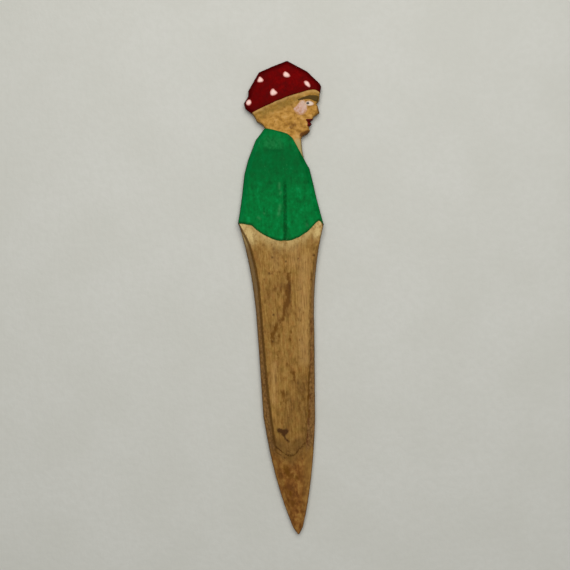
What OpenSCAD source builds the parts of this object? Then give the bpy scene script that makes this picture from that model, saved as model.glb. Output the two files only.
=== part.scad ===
// Stick puppet: a small figure seen from the side, whittled from one thin board.
// The board runs down into a pointed blade with bevelled margins, and the figure is painted on both faces.
// It lies flat: +Y from the point to the cap, +X the way the figure looks, +Z up through the board.
// The origin is the middle of the plan, on the surface that the board lies on.

/* [Board] */
// Length from the point of the blade to the top of the cap
length = 190; // [170:5:220]
// Thickness of the board at the blade and the tunic
thick = 5; // [4.5:0.25:6]
// How far each face of the head lies below the face of the board
head_drop = 0.8; // [0.75:0.05:1]
// How far each face of the cap stands above the face of the head
rim_height = 0.35; // [0.2:0.05:0.35]

/* [Blade] */
// Width of the bevelled margin along the blade
margin = 2.3; // [1.8:0.1:2.6]
// Thickness left along the whittled edges
edge = 1.6; // [1.4:0.1:2]
// Height of the small step between a bevel and the raised panel
panel_step = 0.3; // [0.2:0.05:0.4]
// Thickness of the point
point_thick = 1; // [0.6:0.1:1.2]

/* [Figure] */
// Width of the whittled edge along the tunic
tunic_edge = 1.6; // [1.2:0.1:2]
// Width of the whittled edge over the crown of the cap
cap_edge = 1.8; // [1.4:0.1:2.2]

/* [Paint] */
// Thickness of the coats of paint
paint = 0.25; // [0.2:0.05:0.3]
// Height of the dabs of paint on the cap
dab_height = 0.35; // [0.25:0.05:0.4]
// Radius of the dabs
dab_radius = 1.35; // [1.1:0.05:1.4]
// Radius of the cheek patch
cheek_radius = 2.3; // [1.8:0.1:2.3]

/* [Hidden] */
k = length / 190;       // every outline below is drawn for a length of 190
far = 60;               // reach of a cutting solid past the board
above = thick + 2;      // height of a cutting solid
edge_top = (thick + edge) / 2;
head_top = thick - head_drop;
cap_top = head_top + rim_height;
round_fn = 48;

// ---- outlines, as [x, y] with the point of the blade at [0, 0] ----

function to_hundredth(p) = [round(p.x * 100) / 100, round(p.y * 100) / 100];
// A quadratic curve from a to c, pulled towards b. Its first point is left out, so that curves chain.
function curve(a, b, c, n) = [
    for (i = [1:n])
        let (t = i / n) to_hundredth((1 - t) * (1 - t) * a + 2 * t * (1 - t) * b + t * t * c)
];
function sized(points) = [for (p = points) to_hundredth(k * p)];
function reversed(points) = [for (i = [len(points) - 1:-1:0]) points[i]];

right_waist = [17.3, 123];
left_waist = [-16.9, 126];
throat = [10.3, 158.6];
nape = [-4.4, 163.4];
cap_front = [18.9, 176.6];
cap_back = [-8.8, 169.9];

// The sides of the blade and the tunic, from the point up
right_blade = concat(
    [[2.2, 2.6]], curve([2.2, 2.6], [7, 20], [9.3, 46], 4),
    [[11.2, 80]], curve([11.2, 80], [12.3, 105], right_waist, 4)
);
left_blade = concat(
    [[-2.5, 2.6]], curve([-2.5, 2.6], [-9.2, 22], [-11.5, 48], 4),
    [[-12, 84]], curve([-12, 84], [-12.6, 109], left_waist, 4)
);
right_tunic = [[15.8, 133.3], [14.2, 140.5], [12.9, 146.3], [10.9, 150], [10.4, 154], throat];
left_tunic = [[-15.1, 137], [-13.3, 145.7], [-11.6, 151], [-8, 159], nape];

// The face: chin, lower lip, mouth, upper lip, nose, bridge of the nose, brow
face = [
    [12.9, 160], [14.1, 161.4], [13.6, 163], [14.9, 164.2], [14, 165.1], [15.4, 165.9],
    [15.7, 166.9], [18.2, 168.3], [17.7, 169.7], [16.9, 171.6], [18.3, 174.2], cap_front
];
crown = [[18.9, 180.2], [14.2, 185.3], [6.5, 190], [-5, 186], [-9.6, 178.9]];
cap_lobe = [[-9.8, 176.4], [-11.6, 174], [-11.2, 171.9], cap_back];
head_back = [[-7.4, 168.3], [-6, 166.2]];
outline = sized(concat(
    [[0.5, 0]], right_blade, right_tunic, face, [[19.4, 179]], crown, cap_lobe, head_back,
    reversed(left_tunic), reversed(left_blade), [[-0.7, 0]]
));

min_x = min([for (p = outline) p.x]);
max_x = max([for (p = outline) p.x]);
middle = [(min_x + max_x) / 2, length / 2];

// ---- plans of the painted and whittled parts ----

cap_rim = curve(cap_back, [4, 176.4], cap_front, 8);
neckline = [[-3.4, 162.8], [0.5, 162.2], [4.7, 160.9], [6.8, 158.9], [8.7, 154.4], [10.6, 150.9]];
hem = concat(
    [[-14, 126.5], [-12, 125.1]], curve([-12, 125.1], [1.4, 111.6], [14.3, 124.6], 10),
    [[15.6, 125.5], [16.5, 123.4]]
);
cap_plan = concat([[-far, cap_back.y], cap_back], cap_rim, [[far, cap_front.y], [far, 220], [-far, 220]]);
tunic_plan = concat(
    [[-far, 126.5]], hem, [[far, 123.4], [far, 150.9]], reversed(neckline), [[-far, 162.8]]
);
lip_plan = [
    [12.9, 165.9], [12.7, 165.2], [13.5, 164], [13.7, 163.4], [17, 163.4], [17, 166.3], [14.2, 166.3]
];
// The chevron that ends the raised panel, and all the blade below it
point_plan = [[-1.2, 31.5], [-14, 41], [-14, -9], [14, -9], [14, 42]];
// All of the figure below the rim of the cap
face_plan = concat(
    [[-far, cap_back.y], [-far, 140], [far, 140], [far, cap_front.y]], reversed(cap_rim), [cap_back]
);

cheek = k * [10.6, 170.4];
eye = k * [14.1, 172.4];
pupil = k * [13.9, 172.3];
pupil_radius = 0.55 * k;
dabs = [[-4.6, 183], [5.7, 184.1], [13.9, 180], [0.3, 177.6], [-9.9, 174.1]];
brow_start = [9.9, 173.6];
brow = concat(
    [brow_start], curve(brow_start, [13.6, 175.2], [17, 173.7], 5),
    reversed(curve(brow_start, [13.4, 176.4], [17.4, 174.3], 5))
);

// ---- the finished body, paint included, or the same body shrunk on all sides by inset ----

function unit(v) = v / norm(v);
function left_of(v) = [-v.y, v.x];
// Point i of the outline, moved inwards by d along the line that halves its corner
function moved_in(i, d) =
    let (
        n = len(outline),
        before = left_of(unit(outline[i] - outline[(i + n - 1) % n])),
        after = left_of(unit(outline[(i + 1) % n] - outline[i])),
        half = unit(before + after)
    )
    outline[i] + half * d / (half * before);

// Raises its children from the plan to the solid between two heights.
module between(low, high) {
    translate([0, 0, low]) linear_extrude(high - low) children();
}

// Everything inside a plan, from the height low up
module over(points, low = -2) {
    between(low, above) polygon(sized(points));
}

// A solid as wide as the board, with its outline drawn in the side view as [y, z]
module side_view(points) {
    translate([-far, 0, 0]) rotate([90, 0, 90]) linear_extrude(2 * far) polygon(points);
}

// Repeats its children mirrored through the middle of the board, for the lower face.
module both_faces() {
    children();
    translate([0, 0, thick]) mirror([0, 0, 1]) children();
}

// A solid above a slope. The slope starts at height high along the line from a to b,
// and falls to height low at the distance reach to the right of that line.
module above_slope(a, b, reach, high, low) {
    past = reach + 6;
    translate([a.x, a.y, 0]) rotate([0, 0, atan2(b.y - a.y, b.x - a.x)]) rotate([90, 0, 90])
        translate([0, 0, -far]) linear_extrude(2 * far)
            polygon([[0, high], [0, above], [-past, above], [-past, high - (high - low) * past / reach]]);
}

// A long knife cut down the right side of the body, along points that rise in y. Its inner border lies
// wide[i] inside points[i], at the height high. From there it falls to the edge.
module side_cut(points, wide, high, inset = 0) {
    fall = (high - edge_top) / max(wide);
    reach = 12;
    start = high + (fall - 1.3) * inset;
    section = [[0, start], [reach, start - fall * reach], [reach, above], [0, above]];
    last = 4 * (len(points) - 1);
    polyhedron(
        [
            for (i = [0:len(points) - 1])
                for (s = section) [points[i].x - wide[i] - inset + s.x, points[i].y, s.y]
        ],
        concat(
            [[3, 2, 1, 0], [for (j = [0:3]) last + j]],
            [
                for (i = [0:4:last - 4])
                    for (j = [0:3])
                        let (next = (j + 1) % 4) [i + j, i + next, i + 4 + next, i + 4 + j]
            ]
        )
    );
}

// The same cut down the left side
module left_side_cut(points, wide, high, inset = 0) {
    mirror([1, 0, 0]) side_cut([for (p = points) [-p.x, p.y]], wide, high, inset);
}

// The widths of a cut along n points: the same all the way, but nothing at the last one,
// or at the first one too.
function running_out(n, wide, both) = [for (i = [0:n - 1]) i == n - 1 || (both && i == 0) ? 0 : wide];

// The raised panel of the blade, with a bevelled margin on each side and a thinned point. It is bare
// wood, so it never needs an inset.
module blade_cuts() {
    panel = thick - panel_step;
    tip = (thick + point_thick) / 2;
    beyond = (panel - tip) * 9 / 42;
    side_cut(sized(right_blade), running_out(len(right_blade), margin, false), panel);
    left_side_cut(sized(left_blade), running_out(len(left_blade), margin, false), panel);
    intersection() {
        over(point_plan, thick / 2);
        side_view([[-9 * k, tip - beyond], [42 * k, panel], [42 * k, above], [-9 * k, above]]);
    }
}

// The tunic has a whittled edge on each side, and the chest slopes down to the lower face of the head.
module chest_cuts(inset) {
    right = concat([right_waist], right_tunic);
    left = concat([left_waist], left_tunic);
    side_cut(sized(right), running_out(len(right), tunic_edge, true), thick, inset);
    left_side_cut(sized(left), running_out(len(left), tunic_edge, true), thick, inset);
    intersection() {
        over(face_plan, thick / 2);
        side_view([
            [148 * k, thick - inset], [166 * k, head_top - inset], [186 * k, head_top - inset],
            [186 * k, above], [148 * k, above]
        ]);
    }
}

// The cap lies between the face of the head and the face of the board, and its crown is whittled.
module cap_cuts(inset) {
    over(cap_plan, cap_top - inset);
    intersection() {
        translate([-far, 178 * k, 0]) cube([2 * far, 20 * k, above]);
        for (i = [0:len(crown) - 2]) {
            way = unit(crown[i + 1] - crown[i]);
            inner = k * crown[i] + cap_edge * left_of(way);
            above_slope(inner, inner + way, cap_edge, cap_top - inset, edge_top - inset);
        }
    }
}

module body(inset = 0) {
    difference() {
        between(inset, thick - inset)
            polygon([for (i = [0:len(outline) - 1]) moved_in(i, inset)]);
        both_faces() {
            if (inset == 0) blade_cuts();
            chest_cuts(inset);
            cap_cuts(inset);
        }
    }
}

// A coat of paint is the outermost skin of the body, over both faces and the edge, inside a plan.
module coat(plan) {
    difference() {
        intersection() {
            body();
            over(plan);
        }
        body(paint);
    }
}

// A flat patch of paint let into both faces of the head. The children are its plan.
module patch() {
    both_faces() between(head_top - paint, head_top) children();
}

// An almond between two arcs, open around the pupil when open is set
module eye_plan(open) {
    difference() {
        intersection_for (side = [-1, 1])
            translate(eye + [0, side * 2.2 * k]) circle(r = 3 * k, $fn = round_fn);
        if (open) pupil_plan();
    }
}

module pupil_plan() {
    translate(pupil) circle(r = pupil_radius, $fn = round_fn);
}

module cheek_plan() {
    translate(cheek) circle(r = k * cheek_radius, $fn = round_fn);
}

module brow_plan() {
    polygon(sized(brow));
}

module placed() {
    translate([-middle.x, -middle.y, 0]) children();
}

// ---- the nodes ----

module carved_stick() {
    color("burlywood") difference() {
        body();
        coat(cap_plan);
        coat(tunic_plan);
        coat(lip_plan);
        patch() cheek_plan();
        patch() eye_plan(false);
        patch() brow_plan();
    }
}

module cap_paint() {
    color("darkred") coat(cap_plan);
}

// Each dab is the cap of a ball, standing on the coat.
module cap_dots() {
    ball = (dab_radius * dab_radius + dab_height * dab_height) / (2 * dab_height);
    color("mistyrose") both_faces()
        for (p = sized(dabs))
            translate([p.x, p.y, cap_top]) intersection() {
                translate([0, 0, dab_height - ball]) sphere(r = ball, $fn = 120);
                cylinder(r = dab_radius + 1, h = dab_height + 1, $fn = round_fn);
            }
}

module tunic_paint() {
    color("seagreen") coat(tunic_plan);
}

module cheek_paint() {
    color("pink") patch() cheek_plan();
}

module eye_whites() {
    color("ivory") patch() eye_plan(true);
}

module eye_pupils() {
    color("black") patch() pupil_plan();
}

module eyebrow_paint() {
    color("saddlebrown") patch() brow_plan();
}

module lip_paint() {
    color("maroon") coat(lip_plan);
}

placed() carved_stick();
placed() cap_paint();
placed() cap_dots();
placed() tunic_paint();
placed() cheek_paint();
placed() eye_whites();
placed() eye_pupils();
placed() eyebrow_paint();
placed() lip_paint();
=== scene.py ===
import math
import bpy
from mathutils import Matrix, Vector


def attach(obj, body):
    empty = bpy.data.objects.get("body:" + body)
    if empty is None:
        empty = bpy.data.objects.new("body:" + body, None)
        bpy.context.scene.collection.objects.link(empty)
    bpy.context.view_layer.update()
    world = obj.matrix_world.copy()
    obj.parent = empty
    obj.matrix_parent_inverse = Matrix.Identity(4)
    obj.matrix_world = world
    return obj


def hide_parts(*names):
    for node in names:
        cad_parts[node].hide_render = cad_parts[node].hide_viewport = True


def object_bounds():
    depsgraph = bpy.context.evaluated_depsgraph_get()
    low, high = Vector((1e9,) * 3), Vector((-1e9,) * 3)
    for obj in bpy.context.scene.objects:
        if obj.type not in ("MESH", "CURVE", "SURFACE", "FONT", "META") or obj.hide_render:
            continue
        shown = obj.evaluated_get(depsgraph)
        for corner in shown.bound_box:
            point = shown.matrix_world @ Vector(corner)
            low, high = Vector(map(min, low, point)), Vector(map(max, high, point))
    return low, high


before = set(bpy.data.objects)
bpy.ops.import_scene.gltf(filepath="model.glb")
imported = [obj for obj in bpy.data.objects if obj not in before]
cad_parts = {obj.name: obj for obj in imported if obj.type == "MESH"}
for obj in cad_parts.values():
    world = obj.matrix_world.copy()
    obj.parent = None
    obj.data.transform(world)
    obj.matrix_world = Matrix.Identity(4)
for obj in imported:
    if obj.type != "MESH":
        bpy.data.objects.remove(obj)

from types import SimpleNamespace

import bpy
import numpy as np

# A whittled and painted figure on a knife-shaped board, lying on a table. One board, eight layers
# of paint. Plan points are drawn in millimetres with the blade's point at (0, 0). Heights are in
# millimetres above the middle of the board's thickness. FRONT faces up, BACK lies on the table.

CAD_LOW, CAD_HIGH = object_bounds()
MM = 0.001
FRONT, BACK = 1, -1
DRAWN_RIGHT = 19.4          # the highest x in the drawn outline, at the front of the cap
HALF = (CAD_HIGH.z - CAD_LOW.z) / MM / 2
ORIGIN_X = CAD_HIGH.x / MM - DRAWN_RIGHT
ORIGIN_Y = CAD_LOW.y / MM
ORIGIN_Z = CAD_LOW.z / MM + HALF

COLUMNS = 84                # steps across the board's plan grid
BODY_DROP = 0.16            # how far the face of the body lies below the board's full height
HEAD_DROP = 0.8             # the same for the head
CAP_DROP = 0.4              # and for the middle of the cap
COAT = 0.12                 # thickness of the big coats of paint over the wood


# ---------------- plan shapes

def curve(a, b, c, n):
    """n points along the quadratic curve that leaves a, pulls towards b and ends at c, without a itself."""
    t = np.arange(1, n + 1)[:, None] / n
    a, b, c = np.array(a, float), np.array(b, float), np.array(c, float)
    return [tuple(p) for p in (1 - t) ** 2 * a + 2 * t * (1 - t) * b + t * t * c]


# Corners of the outline, where one part of the plan ends and the next begins
TIP_LEFT, TIP_RIGHT = (-1.9, 2.6), (1.8, 2.6)
WAIST_LEFT, WAIST_RIGHT = (-16.8, 126), (17.2, 123.4)
NAPE, THROAT = (-3.9, 163.5), (11, 149.9)
CAP_BACK, CAP_FRONT = (-8.8, 169.9), (18.9, 176.6)
CROWN_LEFT, CROWN_RIGHT = (-5, 186), (14.2, 185.3)

TIP = [TIP_LEFT, (-0.35, 0), (0.3, 0), TIP_RIGHT]
LEFT_BLADE = (
    [TIP_LEFT] + curve(TIP_LEFT, (-8.9, 22), (-11.3, 48), 8)
    + [(-11.7, 84)] + curve((-11.7, 84), (-12, 108), WAIST_LEFT, 8)
)
RIGHT_BLADE = (
    [TIP_RIGHT] + curve(TIP_RIGHT, (7, 20), (9.3, 46), 8)
    + [(11, 80)] + curve((11, 80), (11.5, 105), WAIST_RIGHT, 8)
)
LEFT_TUNIC = [WAIST_LEFT, (-14.6, 137), (-13.1, 145.7), (-11.4, 151), (-7.8, 159), NAPE]
RIGHT_TUNIC = [WAIST_RIGHT, (15.1, 133.4), (13.9, 140.5), (12.8, 146.3), THROAT]
LEFT_HEAD = [NAPE, (-4.7, 164.9), (-7, 166.4), (-7.8, 168.2), CAP_BACK]
FACE = [
    THROAT, (10.4, 154), (10.3, 158.5), (11, 159.5), (12.9, 160.3), (14.1, 161.5), (13.6, 163),
    (14.9, 164.2), (14, 165.1), (15.4, 165.9), (15.7, 166.9), (18.2, 168.3), (18, 169.5),
    (17.7, 171.1), (17.2, 172.1), (18.4, 173.2), (18.6, 174.6), CAP_FRONT,
]
LEFT_CAP = [CAP_BACK, (-11.2, 171.9), (-11.7, 174), (-9.8, 176.6), (-9.6, 178.9), CROWN_LEFT]
RIGHT_CAP = [CAP_FRONT, (19.4, 179), (18.9, 180.2), CROWN_RIGHT]
CROWN = [CROWN_LEFT, (0.6, 188.1), (6.5, 190), (10.4, 187.6), CROWN_RIGHT]

# Lines across the board, from left to right
CHEVRON = [
    (-10, 38.2), (-7.2, 36), (-4.4, 33.7), (-2.2, 32), (-1, 31.8), (0.4, 32.5), (3.8, 35.9), (8.2, 38.8),
]
HEM = (
    [WAIST_LEFT, (-14.6, 125.6), (-11.6, 124.8)] + curve((-11.6, 124.8), (2, 111), (14.3, 124.5), 14)
    + [(15.6, 125.3), WAIST_RIGHT]
)
NECKLINE = [NAPE, (-1.6, 162.9), (0.5, 162.3), (4.7, 160.9), (6.8, 158.9), (8.7, 154.6), THROAT]
RIM = [CAP_BACK] + curve(CAP_BACK, (5, 176.7), (16, 177.9), 12) + [(17.2, 177.7), (18.1, 177.1), CAP_FRONT]

# Where the raised panel of the blade ends and its bevelled margins begin
LEFT_BORDER = [
    (-0.6, 1), (-4.5, 20), (-7.5, 38), (-9, 58), (-9.6, 80), (-10.1, 101), (-11.1, 109),
    (-12.9, 117.5), (-17.2, 126.5), (-22, 132),
]
RIGHT_BORDER = [
    (0.6, 1), (2.9, 20), (4.9, 37), (7.3, 57), (8.6, 74), (9.9, 92), (11, 102), (13.2, 112),
    (17.4, 123), (22, 132),
]

CRACK = [(2.8, 143.5), (2.5, 137), (2.3, 132.2), (2, 127.8), (1.5, 118.8), (1.3, 112.6), (1.2, 107)]
PATCH_EDGE = [(-6, 157.5), (-4.6, 155.3), (-1, 154.7), (3, 154.6), (5, 156.5)]
JAW = [(12.6, 160.4), (9.6, 161.3), (6.6, 163.4), (4.4, 166.3), (3.4, 169.2)]
UNDER_JAW = [(3, 170), (6, 163.6), (9.6, 161.2), (13, 160.2)]
CHEST = [(10.7, 150.4), (9.9, 153.5), (8.9, 157.5)]
HAIRLINE = [(-7, 168.6), (-2, 171), (4, 173.2), (9, 174.6)]
BROW = [(9.9, 173.9), (11.9, 174.5), (14, 174.9), (15.6, 174.7), (17.1, 174.2), (18.2, 173.7)]
BROW_WIDTHS = [0.4, 0.8, 1.1, 1.3, 1.9, 2.5, 2.3]
LIPS = [(12.6, 166.1), (13.2, 164.9), (13.2, 163.3), (17, 163.1), (17, 166.2), (14.4, 166)]
CHEEK = (10.6, 170.5)
CHEEK_PATCH = [
    (7.8, 169.8), (8, 170.9), (9.2, 171.6), (9.9, 172.8), (10.6, 174), (12, 174.1), (13, 173.6),
    (13.2, 172.5), (13.6, 171.2), (13.5, 169.6), (12.8, 168.3), (11, 167.6), (9, 168.1),
]
EYE = (14.2, 172.4)
PUPIL = (13.8, 172.5)
EYE_WHITE = [
    (12.3, 172.4), (13.4, 173.5), (15, 173.4), (16.3, 172.5), (16.1, 171.5), (14.6, 171.3), (13.1, 171.6),
]
DABS = [
    [(-4.9, 184.5), (-3.9, 183.6), (-3.1, 182.6), (-3.9, 181.8), (-5.3, 181.7), (-6.1, 182.2),
     (-5.6, 183.4)],
    [(5, 185.7), (6.1, 185.5), (7.3, 184.3), (7.5, 183.4), (6.5, 183), (5.1, 183.2), (4.3, 184.3)],
    [(12.6, 181.4), (13.9, 181.5), (15, 180.4), (15.4, 178.9), (14.7, 178.5), (13.5, 179.3), (12.8, 180.2)],
    [(0.2, 179.4), (1.2, 178.2), (2.2, 177.2), (1, 176.3), (-0.4, 176), (-1.2, 176.8), (-1, 178.3)],
    [(-9.9, 175.4), (-9, 175.2), (-8.6, 174.1), (-9.2, 172.9), (-10.4, 172.8), (-11.1, 173.6),
     (-10.8, 174.8)],
]

# Soft lines of the tables below: points, reach in mm, and strength or height in mm
FACE_RELIEF = [
    ([(10.4, 174.8), (14, 175.5), (17.6, 175.1)], 0.7, 0.16),       # brow ridge
    ([(14.6, 169.6), (14.7, 168.3), (15.9, 167.3)], 0.42, -0.3),    # wing of the nose
    ([(16.6, 168.7), (17, 169.4)], 0.9, 0.12),                      # tip of the nose
    ([(12.9, 165.1), (14.8, 165)], 0.4, -0.4),                      # mouth
    ([(12.6, 162.9), (14, 162.8)], 0.4, -0.22),                     # fold over the chin
]
STREAK = [
    (1.8, 104.6), (2, 99.8), (1.5, 96.6), (1.2, 93.4), (-0.6, 90.3), (-1.2, 87.1), (-3.8, 84.1),
    (-5.5, 81), (-6.1, 77.8),
]
FAINT_STREAKS = [
    ([(-3.2, 101.5), (-2.9, 95.3)], 0.9, 0.5),
    ([(-2.4, 105.6), (1.2, 105.4)], 0.5, 0.5),
    ([(-1.2, 98.6), (-1.2, 96.8)], 0.7, 0.45),
    ([(2.6, 94.4), (2.5, 91)], 0.7, 0.35),
    ([(6.4, 91), (6.4, 88.5)], 0.7, 0.4),
    ([(-6, 99), (-6.4, 96)], 0.9, 0.35),
    ([(1.4, 81.4), (1.3, 78)], 0.8, 0.45),
    ([(-4.2, 82.6), (-3.2, 80.2)], 0.9, 0.5),
    ([(-3.8, 74), (-4, 71)], 0.8, 0.5),
    ([(-0.3, 69.6), (-0.3, 68)], 0.9, 0.5),
    ([(1.4, 68), (1.8, 62)], 0.9, 0.5),
    ([(3.8, 68.2), (4, 66.4)], 0.9, 0.4),
    ([(-2.4, 58), (-2.8, 53)], 1.2, 0.5),
    ([(4.9, 57), (4.6, 53.6)], 0.8, 0.45),
    ([(8.2, 65), (7.4, 58), (6.7, 47)], 0.6, 0.6),
    ([(-3.6, 26.4), (-2.6, 25), (-0.4, 23.4)], 1.9, 0.75),
    ([(-3, 18), (-1.6, 12)], 1.4, 0.5),
]
PALE_PATCHES = [
    ([(8.8, 110), (7.8, 94), (6.4, 70)], 2.5, 0.5),
    ([(-5.9, 69), (-6.9, 54)], 1.3, 0.45),
    ([(4.6, 113.4), (4.4, 109)], 2.2, 0.4),
    ([(-2.6, 111), (-2.6, 107.5)], 2, 0.35),
]
DARK_PATCHES = [
    ([(-4.8, 84), (-5, 78)], 1.9, 0.45),
    ([(4.4, 61), (4.8, 43)], 2.8, 0.5),
    ([(-1.2, 56), (-1.4, 42)], 1.9, 0.4),
    ([(-4.6, 37), (2.4, 36.6)], 2.6, 0.5),
    ([(-6, 102), (-6, 94)], 2, 0.2),
]
# Painted light at the corners of the waist.
PALE_CORNERS = [
    ([(-15.6, 124.6), (-12, 120)], 2.8, 1.4),
    ([(15.6, 124.4), (14.4, 120)], 2, 1.2),
]
NICKS = [
    [(-6.8, 33.4), (-5, 32.2)], [(-4.2, 31.5), (-3.6, 31)], [(-2.6, 33.9), (-1.4, 33.4)],
    [(2.4, 33), (3.4, 33.4)], [(-7, 35.9), (-5.6, 34.5), (-4.3, 33.4)],
    [(-3.4, 32.7), (-2.2, 31.9), (-1.2, 31.8)],
]
STAINS = [
    ([(2.2, 101), (2, 93.5)], 0.75, 0.7),
    ([(1.4, 117), (1.3, 112.2)], 0.3, 0.6),
    ([(-5.4, 42.3), (-4.2, 41.8), (-2.5, 41.8), (-3.6, 40.7)], 1, 1.45),
    ([(-3.5, 40), (-3, 38.8), (-1.7, 37.6)], 0.5, 1.05),
] + [(nick, 0.28, 0.9) for nick in NICKS]
# Painted shade mixed with dirt: under the chin and the nose's tip, in the folds of the jaw, chin and nose,
# beside the cheek, at the nape and at the corners of the waist.
DIRT_AND_SHADE = [
    ([(10.6, 160), (13.2, 161)], 1, 1.2),
    ([(6.4, 163.2), (8, 164.2)], 1.2, 0.7),
    ([(7.3, 172.4), (7.8, 171)], 0.7, 0.5),
    ([(17.9, 168.4), (17.4, 170.4)], 0.6, 0.7),
    ([(13.9, 162.8), (14.2, 161.6)], 0.5, 0.6),
    ([(14.9, 169.2), (15.6, 167.6)], 0.5, 0.45),
    ([(-6.4, 167.2), (-4.6, 164.4)], 0.7, 0.5),
    ([(17.3, 122), (16.6, 124.6)], 0.5, 1),
    ([(-16.8, 126.4), (-16, 123)], 0.45, 1),
]
WORN = [
    ([(-8.9, 127.9), (-8, 127.3)], 0.4, 1),
    ([(0.9, 137.4), (0.6, 136.8)], 0.45, 1),
    ([(0.3, 132.1), (-0.5, 128.4)], 0.55, 1),
    ([(10.4, 123.9), (10.8, 123.5)], 0.4, 1),
    ([(0.5, 141), (0.4, 139)], 0.4, 1),
    ([(-6.4, 129.5), (-6.2, 129.2)], 0.3, 1),
]
SPOTS = [                   # x, y and size
    (-5.6, 105.2, 0.5), (-4.9, 88.6, 0.45), (-4.1, 111.6, 0.4), (6.3, 110.5, 0.35),
    (12.6, 111.6, 0.5), (1.2, 109.6, 0.45), (1.4, 108, 0.3), (-5.7, 78, 0.45),
    (11, 101.9, 0.35), (0.8, 97.9, 0.3), (4.9, 78, 0.3),
]


def spread(points, shares):
    """Points along a line at the given shares of its length."""
    points = np.asarray(points, float)
    run = np.concatenate([[0], np.cumsum(np.hypot(*np.diff(points, axis=0).T))])
    return np.stack([np.interp(shares * run[-1], run, points[:, k]) for k in (0, 1)], 1)


def stretch_of(line, low, high):
    """The part of a line that climbs all the way, between two heights y."""
    line = np.asarray(line, float)
    ends = [[np.interp(y, line[:, 1], line[:, 0]), y] for y in (low, high)]
    inside = line[(line[:, 1] > low + 0.01) & (line[:, 1] < high - 0.01)]
    return np.vstack([ends[:1], inside, ends[1:]])


def crowded(n, start, end, reach=0.1):
    """n steps from 0 to 1 that shrink by the shares start and end towards either end."""
    t = (np.arange(n) + 0.5) / n
    steps = 1 - start * np.exp(-t / reach) - end * np.exp((t - 1) / reach)
    return np.concatenate([[0], np.cumsum(steps) / steps.sum()])


ACROSS = crowded(COLUMNS, 0.7, 0.7)


def patch(bottom, top, left, right, shares):
    """Grid of plan points, rows by columns, that fills the space between four lines."""
    below, above = spread(bottom, ACROSS)[None], spread(top, ACROSS)[None]
    before, beyond = spread(left, shares)[:, None], spread(right, shares)[:, None]
    u, v = ACROSS[None, :, None], shares[:, None, None]
    corners = (
        (1 - u) * (1 - v) * below[:, :1] + u * (1 - v) * below[:, -1:]
        + (1 - u) * v * above[:, :1] + u * v * above[:, -1:]
    )
    return (1 - v) * below + v * above + (1 - u) * before + u * beyond - corners


def smooth_noise(x, y, size_x, size_y, seed):
    """Smooth random values between -1 and 1, with bumps of the given sizes in millimetres."""
    lattice = np.random.default_rng(seed).uniform(-1, 1, (256, 256))
    gx, gy = x / size_x + 91.3, y / size_y + 37.7
    ix, iy = np.floor(gx).astype(int), np.floor(gy).astype(int)
    fx, fy = gx - ix, gy - iy
    fx, fy = fx * fx * (3 - 2 * fx), fy * fy * (3 - 2 * fy)

    def at(dx, dy):
        return lattice[(ix + dx) % 256, (iy + dy) % 256]

    low = at(0, 0) * (1 - fx) + at(1, 0) * fx
    high = at(0, 1) * (1 - fx) + at(1, 1) * fx
    return low * (1 - fy) + high * fy


def distance_to(line, x, y):
    """Distance in mm from each plan point to a line."""
    best = np.full(x.shape, 1e9)
    for (ax, ay), (bx, by) in zip(line[:-1], line[1:]):
        dx, dy = bx - ax, by - ay
        t = np.clip(((x - ax) * dx + (y - ay) * dy) / (dx * dx + dy * dy), 0, 1)
        best = np.minimum(best, np.hypot(x - ax - t * dx, y - ay - t * dy))
    return best


def inside(polygon, x, y):
    """True at the plan points within a closed polygon."""
    result = np.zeros(x.shape, bool)
    for (ax, ay), (bx, by) in zip(polygon, polygon[1:] + polygon[:1]):
        if ay != by:
            result ^= ((ay > y) != (by > y)) & (x < (bx - ax) * (y - ay) / (by - ay) + ax)
    return result


def bell(value, width):
    """1 where value is 0, falling softly to 0 a few widths away."""
    return np.exp(-(value / width) ** 2)


def glow(line, x, y, reach):
    """1 on a line, falling softly to 0 a few times reach away."""
    return bell(distance_to(line, x, y), reach)


def strongest(places, x, y):
    """The highest of several soft lines at each plan point, from a table of points, reach and strength."""
    value = np.zeros(x.shape)
    for line, reach, strength in places:
        value = np.maximum(value, strength * glow(line, x, y, reach))
    return value


def ramp(value, low, high):
    """0 below low, 1 above high and a smooth step between."""
    t = np.clip((value - low) / (high - low), 0, 1)
    return t * t * (3 - 2 * t)


def uneven(line, size, seed, n=60):
    """A drawn line with the small swings of a hand, up and down by size in mm. Its ends stay put."""
    share = np.linspace(0, 1, n)
    points = spread(line, share)
    swing = smooth_noise(points[:, 0], 0 * share, 1.6, 1, seed)
    points[:, 1] += size * swing * np.sqrt(np.sin(np.pi * share))
    return [tuple(p) for p in points]


HEM = uneven(HEM, 0.2, 81)
NECKLINE = uneven(NECKLINE, 0.12, 82)
RIM = uneven(RIM, 0.14, 83)


def border_x(border, y, reach=5, step=0.25):
    """x of a margin's border at height y, with its corners eased over reach."""
    rows = np.arange(-20, 220, step)
    xs = np.interp(rows, [p[1] for p in border], [p[0] for p in border])
    n = int(reach / step)
    eased = np.convolve(np.pad(xs, n, "edge"), np.ones(n) / n, "same")[n:-n]
    return np.interp(y, rows, eased)


def line_y(line, x):
    """Height y of a line that runs from left to right, at x."""
    return np.interp(x, [p[0] for p in line], [p[1] for p in line])


# The whole plan outline, closed, anticlockwise from the left of the point
OUTLINE = (
    TIP + RIGHT_BLADE[1:] + RIGHT_TUNIC[1:] + FACE[1:] + RIGHT_CAP[1:] + CROWN[::-1][1:]
    + (LEFT_BLADE + LEFT_TUNIC[1:] + LEFT_HEAD[1:] + LEFT_CAP[1:])[::-1][1:]
)


# ---------------- carved heights

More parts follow.
